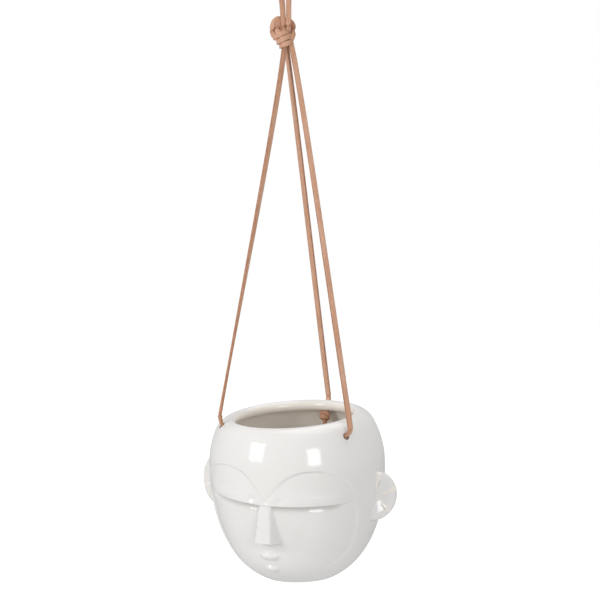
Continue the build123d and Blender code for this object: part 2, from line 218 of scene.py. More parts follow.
# %% Leather
def leather_material():
    """Pale tanned thong with darker cut edges, and the knot cores painted all over in the edge colour as
    painted shade.
    """
    material, tree, surface = new_material("leather_thong")
    hide = ramp(tree, grain_noise(tree, 90, 5, (1, 1, 0.25)),
                [(0.3, 0.62, 0.335, 0.205), (0.5, 0.74, 0.44, 0.295), (0.72, 0.83, 0.56, 0.41)])
    cut = ramp(tree, grain_noise(tree, 900, 3, (1, 1, 0.2)),
               [(0.3, 0.30, 0.125, 0.062), (0.7, 0.50, 0.25, 0.14)])
    # Cut edges are darker in the leather itself; the knot cores, marked at full, take this colour as painted
    # shade in the knot's gaps.
    edge = attribute_value(tree, "cut_edge_and_gap_shade")
    colour = mix_colours(tree, edge, hide, cut)
    tree.links.new(colour, surface.inputs["Base Color"])
    pores = bump(tree, grain_noise(tree, 1500, 4), 0.00012)
    fibres = bump(tree, grain_noise(tree, 420, 3, (1, 1, 0.15)), 0.00025, normal=pores)
    tree.links.new(fibres, surface.inputs["Normal"])
    surface.inputs["Roughness"].default_value = 0.62
    surface.inputs["Sheen Weight"].default_value = 0.15
    surface.inputs["Sheen Roughness"].default_value = 0.5
    return material


leather = leather_material()

# %% [markdown]
# ## A thong along a line
#
# Every lace is one flat strip, 4.8 mm by 2.6 mm, that follows a smooth line and turns about it on its
# way. In Blender this is a NURBS curve with a bevel object: the line is the lace's middle, the bevel
# object is its cross-section, and each point's tilt is the turn. The curve is then made a mesh, so that
# the edge attribute can be written.

# %% The cross-section and the sweep
LACE_WIDTH = 0.0048
LACE_THICKNESS = 0.0026
EDGE_ROUNDING = 0.00055
ROUNDING_STEPS = 3


def section_points(width, thickness, rounding):
    """A rectangle with rounded corners, as points once round."""
    points = []
    for quarter, (sx, sy) in enumerate(((1, 1), (-1, 1), (-1, -1), (1, -1))):
        centre = (sx * (width / 2 - rounding), sy * (thickness / 2 - rounding))
        for step in range(ROUNDING_STEPS + 1):
            angle = (quarter + step / ROUNDING_STEPS) * pi / 2
            points.append((centre[0] + rounding * cos(angle), centre[1] + rounding * sin(angle)))
    return points


def section_curve(name, width=LACE_WIDTH, thickness=LACE_THICKNESS):
    """The cross-section as a closed curve for the bevel."""
    points = section_points(width, thickness, EDGE_ROUNDING)
    data = bpy.data.curves.new(name, "CURVE")
    data.dimensions = "2D"
    line = data.splines.new("POLY")
    line.points.add(len(points) - 1)
    for point, (x, y) in zip(line.points, points):
        point.co = (x, y, 0, 1)
    line.use_cyclic_u = True
    section = bpy.data.objects.new(name, data)
    bpy.context.scene.collection.objects.link(section)
    return section, points


def nurbs_line(name, points, tilts, closed=False, steps=16):
    """A NURBS curve object with those control points, each with its tilt in degrees."""
    data = bpy.data.curves.new(name, "CURVE")
    data.dimensions = "3D"
    data.resolution_u = steps
    line = data.splines.new("NURBS")
    line.points.add(len(points) - 1)
    for point, place, tilt in zip(line.points, points, tilts):
        point.co = (*place, 1)
        point.tilt = radians(tilt)
    line.use_cyclic_u = closed
    line.order_u = 3
    line.use_endpoint_u = not closed
    curve = bpy.data.objects.new(name, data)
    bpy.context.scene.collection.objects.link(curve)
    return curve


def middle_line(curve):
    """The points that a curve's middle follows, read before it has a bevel."""
    bpy.context.view_layer.update()
    mesh = bpy.data.meshes.new_from_object(curve)
    points = [vertex.co.copy() for vertex in mesh.vertices]
    bpy.data.meshes.remove(mesh)
    return points


def swept_thong(name, points, tilts, closed=False, steps=16, width=LACE_WIDTH,
                thickness=LACE_THICKNESS):
    """A flat thong along a line, and the line's points. Its cut edges are marked for the leather."""
    curve = nurbs_line(name, points, tilts, closed, steps)
    path = middle_line(curve)
    section, outline = section_curve(name + "_section", width, thickness)
    curve.data.twist_mode = "Z_UP"
    curve.data.bevel_mode = "OBJECT"
    curve.data.bevel_object = section
    curve.data.use_fill_caps = not closed
    make_active(curve)
    bpy.ops.object.convert(target="MESH")
    thong = bpy.context.object
    thong.name = name
    bpy.data.objects.remove(section)
    mark_cut_edges(thong, outline, width)
    finish_surface(thong)
    thong.data.materials.clear()
    thong.data.materials.append(leather)
    return thong, path


def mark_cut_edges(thong, outline, width):
    """Write how near each point is to a cut edge, from its place in the cross-section."""
    flat_half = width / 2 - 2 * EDGE_ROUNDING
    around = [min(1.0, max(0.0, (abs(x) - flat_half) / (2 * EDGE_ROUNDING))) for x, _ in outline]
    count = len(thong.data.vertices)
    values = [around[i % len(around)] for i in range(count)]
    write_values(thong.data, "cut_edge_and_gap_shade", values)


def finish_surface(piece, angle=50):
    """Weld the seams, turn the faces outwards and smooth them."""
    make_active(piece)
    bpy.ops.object.mode_set(mode="EDIT")
    bpy.ops.mesh.select_all(action="SELECT")
    bpy.ops.mesh.remove_doubles(threshold=0.00001)
    bpy.ops.mesh.normals_make_consistent(inside=False)
    bpy.ops.object.mode_set(mode="OBJECT")
    bpy.ops.object.shade_smooth_by_angle(angle=radians(angle))


# %% [markdown]
# ## The three legs
#
# Each leg runs almost straight from the big knot to a point just outside its hole, bends over and goes in to
# its stopper knot. The left one leaves the knot edge-on to the viewer and turns its broad side out on
# the way down. The planter can turn under the knot.

# %% Legs
LEG_ROUTES = {
    "left": [(-0.0007, -0.0009, -0.0762), (-0.0040, -0.0044, -0.1120), (-0.05666, -0.04305, -0.40232),
             (-0.0586, -0.04454, -0.41407), (-0.05388, -0.04026, -0.4262)],
    "back": [(-0.0010, 0.0027, -0.0762), (0.0004, 0.0075, -0.1000), (0.0069, 0.0633, -0.39565),
             (0.0074, 0.0658, -0.40744), (0.00747, 0.05664, -0.41729)],
    "right": [(0.0050, -0.0008, -0.0762), (0.0115, -0.0027, -0.1000), (0.0663, -0.0444, -0.4133),
              (0.0682, -0.0462, -0.4245), (0.05634, -0.0395, -0.43)],
}
LEG_TILTS = {"left": (75, 70, 5, 0, 0), "back": (15, 15, 0, 0, 0), "right": (35, 30, 0, 0, 0)}


def leg(side):
    """One leg of the laces, from the big knot to its stopper knot."""
    name = f"leg_{side}"
    piece, path = swept_thong(name, LEG_ROUTES[side], LEG_TILTS[side], steps=40)
    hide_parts(f"lace_{side}")
    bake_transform(piece)
    return piece


for side in LEG_ROUTES:
    print(side, "leg has", len(leg(side).data.polygons), "faces")

# %% [markdown]
# ## The loop
#
# Above the knot the longer lace is a loop that goes over the hook. It is modelled in three parts that
# meet face to face: a bend that sits on the hook, and two strands that go down into the knot.

# %% Loop
BEND_RADIUS = 0.0063
HOOK_Z = -0.005
FOOT_X = 0.0029
LOOP_FOOT_Z = -0.055
SEAM_Z = -0.0215
STRAND_FEET = ((0.0032, 0.0002, -0.0370), (0.0028, 0.0030, -0.0500), (0.0026, 0.0078, -0.0580),
               (0.0022, 0.0070, -0.0650))
FOOT_SHIFT = 0.0007
VIEW_RIGHT = Vector((cos(radians(CAMERA_AZIMUTH)), sin(radians(CAMERA_AZIMUTH)), 0))
VIEW_FRONT = Vector((sin(radians(CAMERA_AZIMUTH)), -cos(radians(CAMERA_AZIMUTH)), 0))


def strand_x(z):
    """How far a strand is from the middle at a height, on its straight run from the hook to the knot."""
    top = HOOK_Z - 0.0006
    return FOOT_X + (BEND_RADIUS - 0.0001 - FOOT_X) * (z - LOOP_FOOT_Z) / (top - LOOP_FOOT_Z)


def loop_bend():
    """The U over the hook, down to the seams with the two strands. Returns its length."""
    side = [(strand_x(z), z) for z in (SEAM_Z, SEAM_Z + 0.006, HOOK_Z - 0.002)]
    crown = [(BEND_RADIUS * 1.08, HOOK_Z + 0.0035), (BEND_RADIUS * 0.62, HOOK_Z + BEND_RADIUS * 1.07)]
    right = [(x, 0, z) for x, z in side + crown]
    points = [(-x, y, z) for x, y, z in right] + right[::-1]
    piece, path = swept_thong("loop_bend", points, [0] * len(points), steps=14)
    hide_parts("loop_fold")
    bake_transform(piece)
    length = path_length(path)
    return length


def loop_strand(side, sign):
    """One strand from the loop's bend into the knot. Returns its length."""
    points = [Vector((sign * strand_x(SEAM_Z), 0, SEAM_Z)), Vector((sign * strand_x(-0.027), 0, -0.027))]
    for right, front, up in STRAND_FEET:
        points.append(Vector((FOOT_SHIFT + sign * right, 0, 0)) + VIEW_FRONT * front + Vector((0, 0, up)))
    piece, path = swept_thong(f"loop_strand_{side}", points, [0] * len(points), steps=12)
    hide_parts("loop_strands")
    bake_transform(piece)
    length = path_length(path)
    return length


bend_length = loop_bend()
strand_lengths = [loop_strand(side, sign) for side, sign in (("left", -1), ("right", 1))]
print("loop", round(bend_length, 4), [round(length, 4) for length in strand_lengths])

# %% [markdown]
# ## The big knot
#
# The laces are tied together in one overhand knot. What shows is a bundle of turns that climb to the
# right, with three strands folded over the crown. The turns are closed rings of the same thong, each
# tipped and sized, round a core that fills the gaps, painted in the dark cut-edge colour as the shade there.

# %% Knot turns
RING_POINTS = 10


def knot_point(right, front, up):
    """A point by its offsets from the knot's axis: to the viewer's right, to the front, and its height."""
    return VIEW_RIGHT * right + VIEW_FRONT * front + Vector((0, 0, up))


def knot_turn(name, height, half_width, half_depth, slant, shift):
    """One turn of thong round the knot, rising to the right, its broad side outwards."""
    points = []
    for i in range(RING_POINTS):
        angle = 2 * pi * i / RING_POINTS
        right, front = half_width * cos(angle), half_depth * sin(angle)
        lift = height + right * sin(radians(slant))
        points.append(knot_point(shift + right * cos(radians(slant)), front, lift))
    return swept_thong(name, points, [90] * RING_POINTS, closed=True, steps=8)[0]


def knot_strand(name, route, tilts):
    """A stretch of thong through given points, each (right, front, up)."""
    return swept_thong(name, [knot_point(*place) for place in route], tilts, steps=12)[0]


def join_pieces(name, pieces):
    """Several meshes as one object."""
    bpy.ops.object.select_all(action="DESELECT")
    for piece in pieces:
        piece.select_set(True)
    bpy.context.view_layer.objects.active = pieces[0]
    bpy.ops.object.join()
    joined = bpy.context.object
    joined.name = name
    return joined


def knot_core(name, centre, size):
    """The bundle's inside: a rounded lump of leather that shows only in the gaps, painted all over in the
    dark cut-edge colour as painted shade.
    """
    bpy.ops.mesh.primitive_uv_sphere_add(segments=32, ring_count=16, radius=0.5, location=centre)
    core = bpy.context.object
    core.name = name
    core.scale = size
    bpy.ops.object.transform_apply(location=True, rotation=True, scale=True)
    # Painted shade: the whole core takes the dark cut-edge colour, standing in for the shade in the knot's
    # gaps.
    write_values(core.data, "cut_edge_and_gap_shade", [1.0] * len(core.data.vertices))
    core.data.materials.clear()
    core.data.materials.append(leather)
    bpy.ops.object.shade_smooth()
    return core


knot_pieces = [
    knot_core("big_knot", knot_point(-0.0032, 0.0008, -0.0660), (0.0168, 0.0135, 0.0215)),
    knot_turn("turn_low", -0.0770, 0.0056, 0.0064, 19, shift=0.0002),
    knot_turn("turn_middle", -0.0722, 0.0070, 0.0072, 26, shift=-0.0012),
    knot_turn("turn_high", -0.0674, 0.0084, 0.0078, 26, shift=-0.0030),
    knot_strand("crown_outer", [(-0.0040, 0.0035, -0.0745), (-0.0105, 0.0030, -0.0710),
                                (-0.0122, 0.0035, -0.0640), (-0.0100, 0.0035, -0.0560),
                                (-0.0045, 0.0020, -0.0536), (0.0000, -0.0010, -0.0570)],
                [80, 80, 75, 70, 60, 60]),
    knot_strand("crown_inner", [(-0.0030, 0.0060, -0.0720), (-0.0070, 0.0068, -0.0672),
                                (-0.0078, 0.0066, -0.0610), (-0.0050, 0.0045, -0.0562),
                                (-0.0010, 0.0015, -0.0548), (0.0035, -0.0020, -0.0575)],
                [80, 80, 75, 70, 60, 60]),
    knot_strand("crown_right", [(0.0020, -0.0015, -0.0558), (0.0058, 0.0008, -0.0572),
                                (0.0074, 0.0018, -0.0635), (0.0066, 0.0030, -0.0700),
                                (0.0040, 0.0030, -0.0750)],
                [65, 70, 80, 80, 80]),
]
big_knot = join_pieces("big_knot", knot_pieces)
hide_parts("hanging_knot")
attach(big_knot, "knot")
print("big knot", len(big_knot.data.polygons), "faces")

# %% [markdown]
# ## The stopper knots
#
# Inside the pot each lace ends in one small overhand knot with a short tail, which cannot pass the
# hole. Each is a crossed pair of turns round a core, and its tail hangs straight down.

# %% Stopper knots
STOPPERS = {
    "left": ((-0.05216, -0.0387, -0.43063), (-0.344, -0.3123, 0.8855)),
    "back": ((0.00702, 0.05319, -0.42088), (0.0893, 0.6897, 0.7185)),
    "right": ((0.05241, -0.03699, -0.43181), (0.7846, -0.5032, 0.3621)),
}
TAIL_DROP = 0.019


def stopper_turn(name, middle, outward, side, radius, slant, shift):
    """One turn of a stopper knot, square to the lace but for its slant."""
    up = outward.cross(side)
    tipped = (outward * cos(radians(slant)) + up * sin(radians(slant))).normalized()
    high = tipped.cross(side)
    points = []
    for i in range(8):
        angle = 2 * pi * i / 8
        points.append(middle + outward * shift + (side * cos(angle) + high * sin(angle)) * radius)
    tilts = [90] * 8
    return swept_thong(name, points, tilts, closed=True, steps=8, width=0.0040, thickness=0.0022)[0]


def stopper_knot(side):
    """One stopper knot with its tail."""
    middle, outward = (Vector(value) for value in STOPPERS[side])
    outward.normalize()
    across = outward.cross(Vector((0, 0, 1))).normalized()
    # The core is painted dark as shade in the knot's gaps.
    core = knot_core(f"stopper_core_{side}", middle, (0.0076, 0.0076, 0.0074))
    turns = [stopper_turn(f"stopper_turn_{side}_{i}", middle, outward, across, radius, slant, shift)
             for i, (radius, slant, shift) in enumerate(((0.0042, 24, 0.0004), (0.0036, -30, -0.0012)))]
    end = middle - Vector((0, 0, TAIL_DROP))
    tail = swept_thong(f"stopper_tail_{side}", [middle, middle.lerp(end, 0.4) + across * 0.0006,
                                                middle.lerp(end, 0.7), end - across * 0.0005],
                       [0] * 4, steps=8)[0]
    knot = join_pieces(f"stopper_{side}", [core, *turns, tail])
    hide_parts(f"stopper_knot_{side}")
    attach(knot, "planter")
    return knot


for side in STOPPERS:
    print("stopper", side, len(stopper_knot(side).data.polygons), "faces")

# %% [markdown]
# ## Glaze
#
# The pot is dipped in a glossy white glaze over pale clay. It is a touch warm and very slightly uneven in
# gloss. Its deep folds in the face are painted grey as painted shade, and the inside wall is painted
# lighter and warmer as painted bounce light. The foot is wiped clean before firing and stays matt.

# %% Glaze
def glaze_material():
    """Glossy white glaze, with bare clay under the foot, painted shade in the face's deep folds and painted
    bounce light on the inside wall.
    """
    material, tree, surface = new_material("white_glaze")
    cloud = grain_noise(tree, 16, 2)
    white = ramp(tree, cloud, [(0.35, 0.775, 0.765, 0.745), (0.65, 0.80, 0.79, 0.775)])
    # Painted light: the inside wall is painted lighter and warmer, as bounce light.
    white = mix_colours(tree, attribute_value(tree, "inner_wall_bounce_light"), white, (0.87, 0.82, 0.755, 1))
    # Painted shade: the deep folds of the face are painted grey.
    fold_shade_colour = mix_colours(tree, attribute_value(tree, "fold"), white, (0.60, 0.58, 0.56, 1))
    clay = ramp(tree, grain_noise(tree, 700, 3), [(0.3, 0.58, 0.53, 0.46), (0.7, 0.68, 0.63, 0.56)])
    bare = attribute_value(tree, "bare_clay")
    tree.links.new(mix_colours(tree, bare, fold_shade_colour, clay), surface.inputs["Base Color"])
    gloss = ramp(tree, bare, [(0.0, 0.11, 0.11, 0.11), (1.0, 0.75, 0.75, 0.75)])
    tree.links.new(gloss, surface.inputs["Roughness"])
    tree.links.new(bump(tree, grain_noise(tree, 55, 2), 0.00035, 0.35), surface.inputs["Normal"])
    surface.inputs["IOR"].default_value = 1.52
    return material


glaze = glaze_material()

# %% [markdown]
# ## The plain pot
#
# Before it has a face the pot is thrown round: a sphere above, a fuller jaw below, and a shoulder that
# rolls into a thick bead. Its profile is drawn once, with close rows where the face will be, and spun
# round the upright axis. The mouth leans forward, so the rows above the middle are tipped by degrees.

# %% Profile
BODY_RADIUS = 0.080
CENTRE_RISE = 0.107
JAW_FULLNESS = 2.3
FOOT_RADIUS = 0.026
FOOT_EDGE = 0.0012
WALL = 0.005
FLOOR = 0.006
RIM_SLANT = 6.3
SHOULDER_RADIUS = 0.018
BEAD_RADIUS = 0.005
SHOULDER_CENTRE = (0.0559305, 0.0267541)
BEAD_CENTRE = (0.0585, 0.0394977)
SHOULDER_START = 25.564
SHOULDER_END = 78.6


def jaw_depth(radius):
    """How far under the middle the jaw's curve would end, so that it meets the foot's edge."""
    return CENTRE_RISE / (1 - (FOOT_RADIUS / radius) ** JAW_FULLNESS) ** (1 / JAW_FULLNESS)


def jaw_radius(radius, depth, rise):
    """The jaw's radius at a height over the foot."""
    return radius * (1 - np.clip((CENTRE_RISE - rise) / depth, 0, 1) ** JAW_FULLNESS) ** (1 / JAW_FULLNESS)


def head_radius(rise):
    """The plain head's radius at a height over the foot."""
    rise = np.asarray(rise, float)
    above = np.sqrt(np.clip(BODY_RADIUS**2 - (rise - CENTRE_RISE) ** 2, 0, None))
    return np.where(rise >= CENTRE_RISE, above, jaw_radius(BODY_RADIUS, jaw_depth(BODY_RADIUS), rise))


def arc_rows(centre, radius, start, end, steps):
    """Rows along an arc of the profile, as (radius, height over the foot), angles in degrees."""
    return [(centre[0] + radius * cos(radians(start + (end - start) * i / steps)),
             CENTRE_RISE + centre[1] + radius * sin(radians(start + (end - start) * i / steps)))
            for i in range(1, steps + 1)]


def face_rows():
    """Heights for the rows over the face, close together where the relief is fine."""
    bands = [(FOOT_EDGE, 0.010, 0.0011), (0.010, 0.0385, 0.00075), (0.0385, 0.0475, 0.00036),
             (0.0475, 0.069, 0.0010), (0.069, 0.0905, 0.00046), (0.0905, 0.122, 0.00062),
             (0.122, 0.1415, 0.0015)]
    rows = []
    for low, high, step in bands:
        count = round((high - low) / step)
        rows += [low + (high - low) * i / count for i in range(count)]
    return rows


def pot_profile():
    """The whole profile, from the middle of the foot over the rim to the middle of the floor inside."""
    rows = [(0, 0), (0.012, 0), (FOOT_RADIUS - 0.002, 0), (FOOT_RADIUS - 0.0004, 0.0003)]
    rows += [(float(head_radius(rise)), rise) for rise in face_rows()]
    rows.append((BODY_RADIUS * cos(radians(SHOULDER_START)),
                 CENTRE_RISE + BODY_RADIUS * sin(radians(SHOULDER_START))))
    rows += arc_rows(SHOULDER_CENTRE, SHOULDER_RADIUS, SHOULDER_START, SHOULDER_END, 24)
    rows += arc_rows(BEAD_CENTRE, BEAD_RADIUS, SHOULDER_END, 90, 2)
    bend = SHOULDER_RADIUS - WALL
    apart = SHOULDER_RADIUS - BEAD_RADIUS
    between = degrees(acos((bend**2 + apart**2 - BEAD_RADIUS**2) / (2 * bend * apart)))
    corner = (SHOULDER_CENTRE[0] + bend * cos(radians(SHOULDER_END - between)),
              SHOULDER_CENTRE[1] + bend * sin(radians(SHOULDER_END - between)))
    bead_end = degrees(atan2(corner[1] - BEAD_CENTRE[1], corner[0] - BEAD_CENTRE[0]))
    rows += arc_rows(BEAD_CENTRE, BEAD_RADIUS, 90, 360 + bead_end, 26)
    rows += arc_rows(SHOULDER_CENTRE, bend, SHOULDER_END - between, SHOULDER_START, 8)
    inner = BODY_RADIUS - WALL
    rows += arc_rows((0, 0), inner, SHOULDER_START, 0, 8)
    depth = jaw_depth(BODY_RADIUS) - WALL
    low = asin(((CENTRE_RISE - FLOOR) / depth) ** (JAW_FULLNESS / 2))
    for i in range(1, 15):
        angle = low * i / 14
        rows.append((inner * cos(angle) ** (2 / JAW_FULLNESS),
                     CENTRE_RISE - depth * sin(angle) ** (2 / JAW_FULLNESS)))
    rows += [(rows[-1][0] - 0.003, FLOOR), (0.012, FLOOR), (0, FLOOR)]
    return rows


profile = pot_profile()
print("profile rows", len(profile))

# %% Spin the profile
COLUMNS = 320


def spun_pot():
    """The plain pot, spun round the upright axis through the body's centre."""
    mesh = bpy.data.meshes.new("pot_glazed")
    mesh.from_pydata([(r, -KNOT_Y, FOOT_Z + z) for r, z in profile],
                     [(i, i + 1) for i in range(len(profile) - 1)], [])
    pot = bpy.data.objects.new("pot_glazed", mesh)
    bpy.context.scene.collection.objects.link(pot)
    make_active(pot)
    bpy.ops.object.mode_set(mode="EDIT")
    bpy.ops.mesh.select_all(action="SELECT")
    bpy.ops.mesh.spin(steps=COLUMNS, angle=2 * pi, center=(0, -KNOT_Y, FOOT_Z), axis=(0, 0, 1))
    bpy.ops.mesh.select_all(action="SELECT")
    bpy.ops.mesh.remove_doubles(threshold=0.000002)
    bpy.ops.mesh.normals_make_consistent(inside=False)
    bpy.ops.object.mode_set(mode="OBJECT")
    return pot


pot = spun_pot()
print("spun pot", len(pot.data.polygons), "faces")

# %% [markdown]
# ## The face
#
# The face is a mask of closed lids over long cheeks. Its edge is a single line that springs from
# between the brows, arches over both eyes and runs down to the jaw. Inside it the lids are sunk a
# little at the brow and swell again to their lower edge, the cheeks lie deeper, and a wedge-shaped nose
# and two small lips stand out. Like soft clay pressed into a mould, each is worked as a change of the
# radius: one number for each point, from its place as seen from the front. The whole face leans by a
# few degrees on its foot, as on the real pot, so that place is first turned upright.

# %% Outline of the mask
FACE_LEAN = 4.2
OUTLINE_UP = [(0, 0.084), (15, 0.1052), (34, 0.1115), (56, 0.1013), (65.5, 0.082)]
OUTLINE_DOWN = [(67.5, 0.050), (64, 0.028), (43.5, 0.014), (20, 0.0105), (0, 0.0100)]


def leaned(x, rise, lean=FACE_LEAN):
    """A place seen from the front, turned with the face about the head's centre."""
    turn = radians(lean)
    high = rise - CENTRE_RISE
    return x * cos(turn) + high * sin(turn), -x * sin(turn) + high * cos(turn) + CENTRE_RISE


def smooth_line(points, steps=24):
    """A smooth line through points, by Catmull-Rom, as an array."""
    points = [np.array(p, float) for p in points]
    line = []
    for i in range(len(points) - 1):
        before = points[max(i - 1, 0)]
        after = points[min(i + 2, len(points) - 1)]
        for step in range(steps):
            t = step / steps
            line.append(0.5 * (2 * points[i] + (points[i + 1] - before) * t
                               + (2 * before - 5 * points[i] + 4 * points[i + 1] - after) * t**2
                               + (3 * points[i] - before - 3 * points[i + 1] + after) * t**3))
    line.append(points[-1])
    return np.array(line)


def mask_outline():
    """The closed outline of the mask, seen from the front, on the leaning face."""
    halves = []
    for side in (1, -1):
        half = []
        for angle, rise in OUTLINE_UP:
            half.append(leaned(side * float(head_radius(rise)) * sin(radians(angle)), rise))
        for angle, rise in OUTLINE_DOWN:
            half.append((side * float(head_radius(rise)) * sin(radians(angle)), rise))
        halves.append(smooth_line(half))
    return np.vstack([halves[0], halves[1][::-1][1:-1]])


def signed_distance(points, outline):
    """How far inside a closed outline each point is. Outside it is negative."""
    nearest = np.full(len(points), np.inf)
    inside = np.zeros(len(points), bool)
    for a, b in zip(outline, np.roll(outline, -1, axis=0)):
        run = b - a
        t = np.clip(((points - a) @ run) / max(run @ run, 1e-12), 0, 1)
        nearest = np.minimum(nearest, np.hypot(*(points - a - t[:, None] * run).T))
        crosses = (a[1] > points[:, 1]) != (b[1] > points[:, 1])
        with np.errstate(divide="ignore", invalid="ignore"):
            x = a[0] + (points[:, 1] - a[1]) * run[0] / run[1]
        inside ^= crosses & (points[:, 0] < x)
    return np.where(inside, nearest, -nearest)


outline = mask_outline()
print("mask outline", len(outline), "points")

# %% Relief of the face
LID_SINK_TOP = 0.0016
LID_SINK_LOW = 0.0000
CHEEK_SINK = 0.0028
CHEEK_SHIFT = 0.0015
CREASE_RISE = 0.078
CREASE_LIFT = 0.0060
NOSE_TOP, NOSE_BASE = 0.081, 0.0435
LIPS = ((0.031, 0.024, 0.012), (0.0185, 0.017, 0.010))
LIP_PROUD = 0.0045
SWELL_HEIGHT = 0.0007
GROOVE_DEPTH = 0.0013
BRIDGE_DIP = 0.0010
PIT_DEPTH = 0.0016
PIT_PLACES = ((-0.0125, 0.0830), (0.0140, 0.0830))
PIT_SIZE = (0.0042, 0.0030)


def smooth_step(t):
    """0 to 1 with level ends."""
    t = np.clip(t, 0, 1)
    return t * t * (3 - 2 * t)


def bell(x, z, middle, size):
    """A rounded patch of height 1 at its middle."""
    return np.exp(-((x - middle[0]) / size[0]) ** 2 - ((z - middle[1]) / size[1]) ** 2)


def soft_max(a, b, softness):
    """The larger of two surfaces, rounded where they meet."""
    mix = np.clip(0.5 + 0.5 * (a - b) / softness, 0, 1)
    return b * (1 - mix) + a * mix + softness * mix * (1 - mix)


def mask_relief(x, z, turn, inside):
    """How far the lids and cheeks are sunk, as a change of the radius."""
    edge = smooth_step(inside / 0.0016)
    crease = CREASE_RISE + CREASE_LIFT * (x / BODY_RADIUS) ** 2
    below_brow = np.clip((z - crease) / 0.030, 0, 1)
    lids = -(LID_SINK_LOW + (LID_SINK_TOP - LID_SINK_LOW) * below_brow)
    lids -= BRIDGE_DIP * smooth_step((z - crease) / 0.003) * bell(x, 0, (0, 0), (0.004, 1))
    cheeks = -(CHEEK_SINK - CHEEK_SHIFT * (1 - np.cos(turn)))
    fade = smooth_step((z - 0.012) / 0.026)
    cheeks = cheeks * fade
    under = smooth_step((crease + 0.0004 - z) / 0.0016)
    reach = 1 - smooth_step((np.abs(np.degrees(turn)) - 46) / 16)
    swell = SWELL_HEIGHT * bell(0, z, (0, crease + 0.004), (1, 0.005)) * reach
    groove = -GROOVE_DEPTH * bell(0, z, (0, crease - 0.0020), (1, 0.0032)) * reach * under
    blend = under * reach + (1 - reach) * smooth_step((crease + 0.012 - z) / 0.03)
    drop = lids + swell + (cheeks - lids - swell) * blend
    pits = -PIT_DEPTH * (bell(x, z, PIT_PLACES[0], PIT_SIZE) + bell(x, z, PIT_PLACES[1], PIT_SIZE))
    return (drop + groove + pits) * edge


def nose_front(x, z, radius):
    """How far the nose's wedge reaches to the front, or far back where there is no nose."""
    t = np.clip((NOSE_TOP - z) / (NOSE_TOP - NOSE_BASE), 0, 1)
    tip = radius + (-0.0018 + 0.0090 * t)
    back = radius - 0.0053
    half_tip, half_root = 0.0045 + 0.0021 * t, 0.0070 + 0.0068 * t
    slope = np.clip((np.abs(x) - half_tip) / (half_root - half_tip), 0, 30)
    front = tip - (tip - back) * slope
    under = smooth_step((NOSE_BASE - z) / 0.0011)
    over = smooth_step((z - NOSE_TOP) / 0.004)
    return front - 0.030 * under - 0.012 * over


def lip_front(x, z, lip):
    """How far one lip's pad reaches to the front."""
    rise, width, height = lip
    front = float(head_radius(rise)) - CHEEK_SINK + LIP_PROUD
    round_off = 1 - (x / (width / 2)) ** 2 - ((z - rise) / (height / 2)) ** 2
    return np.where(round_off > 0, front - width / 2 + width / 2 * np.sqrt(np.clip(round_off, 0, 1)), -1)


def sculpt_face(pot):
    """Move the outside's points in and out by the relief, then tip the rows under the mouth."""
    mesh = pot.data
    co = np.empty(len(mesh.vertices) * 3)
    mesh.vertices.foreach_get("co", co)
    co = co.reshape(-1, 3)
    x, y, rise = co[:, 0], co[:, 1] + KNOT_Y, co[:, 2] - FOOT_Z
    level = np.hypot(x, y)
    turn = np.arctan2(x, -y)
    outside = np.abs(level - head_radius(rise)) < 0.0004
    front = outside & (np.abs(turn) < radians(80)) & (rise > 0.008) & (rise < 0.125)
    fx, fz = leaned(x[front], rise[front], -FACE_LEAN)
    inside = signed_distance(np.column_stack([x[front], rise[front]]), outline)
    change = mask_relief(fx, fz, turn[front], inside)
    reach = level[front]
    flat = np.cos(turn[front])
    for form, softness in ((nose_front(fx, fz, reach), 0.0012), (lip_front(fx, fz, LIPS[0]), 0.0010),
                           (lip_front(fx, fz, LIPS[1]), 0.0010)):
        stands = (form - reach * flat) * flat
        change = np.where(stands > -0.008, soft_max(stands, change, softness), change)
    new = (reach + change) / np.maximum(reach, 1e-9)
    co[front, 0] = x[front] * new
    co[front, 1] = y[front] * new - KNOT_Y
    tip_mouth(co)
    mesh.vertices.foreach_set("co", co.ravel())
    mesh.update()
    # Painted shade: how deep a point lies in the face's folds, which the glaze paints grey.
    fold = np.zeros(len(co))
    fold[front] = np.clip((-change - 0.0026) / 0.0014, 0, 1)
    write_values(mesh, "fold", fold)
    # Painted light: the inside wall, which the glaze paints lighter and warmer as bounce light.
    inner = (level < head_radius(rise) - 0.0035) & (rise > 0.003) & (rise < 0.150)
    write_values(mesh, "inner_wall_bounce_light", inner)
    bare = np.clip((0.0008 - rise) / 0.0005, 0, 1) * (level < 0.03)
    write_values(mesh, "bare_clay", bare)


def tip_mouth(co):
    """Lean the rows over the middle towards the face, more and more up to the shoulder."""
    high = co[:, 2] - (FOOT_Z + CENTRE_RISE)
    share = np.clip(high / (BODY_RADIUS * sin(radians(SHOULDER_START)) - 0.002), 0, 1)
    turn = np.radians(RIM_SLANT) * share
    y = co[:, 1] + KNOT_Y
    co[:, 1] = y * np.cos(turn) - high * np.sin(turn) - KNOT_Y
    co[:, 2] = y * np.sin(turn) + high * np.cos(turn) + FOOT_Z + CENTRE_RISE


sculpt_face(pot)
print("face worked")

# %% [markdown]
# ## The ears
#
# Each ear is an upright oval plate, cast with the head and swept back, with a soft edge and a shallow
# scoop. It starts as a sphere, is pressed into a plate by its own thickness profile, and is then joined
# to the head by a boolean union, so that the glaze runs over both.

# %% Ears
EAR_SEAT = {-1: (0.0128, 0.0085), 1: (0.0148, 0.005)}
EAR_RISE = 0.084
EAR_HALF_WIDTH, EAR_HALF_HEIGHT = 0.021, 0.0225
EAR_THICKNESS = 0.010
EAR_LEAN, EAR_SWEEP = 14, 35
EAR_RINGS, EAR_SPOKES = 22, 72


def ear_thickness(share):
    """Half the plate's thickness from its middle (0) to its edge (1)."""
    return EAR_THICKNESS / 2 * np.sqrt(np.clip(1 - np.clip((share - 0.80) / 0.20, 0, 1) ** 2, 0, 1))


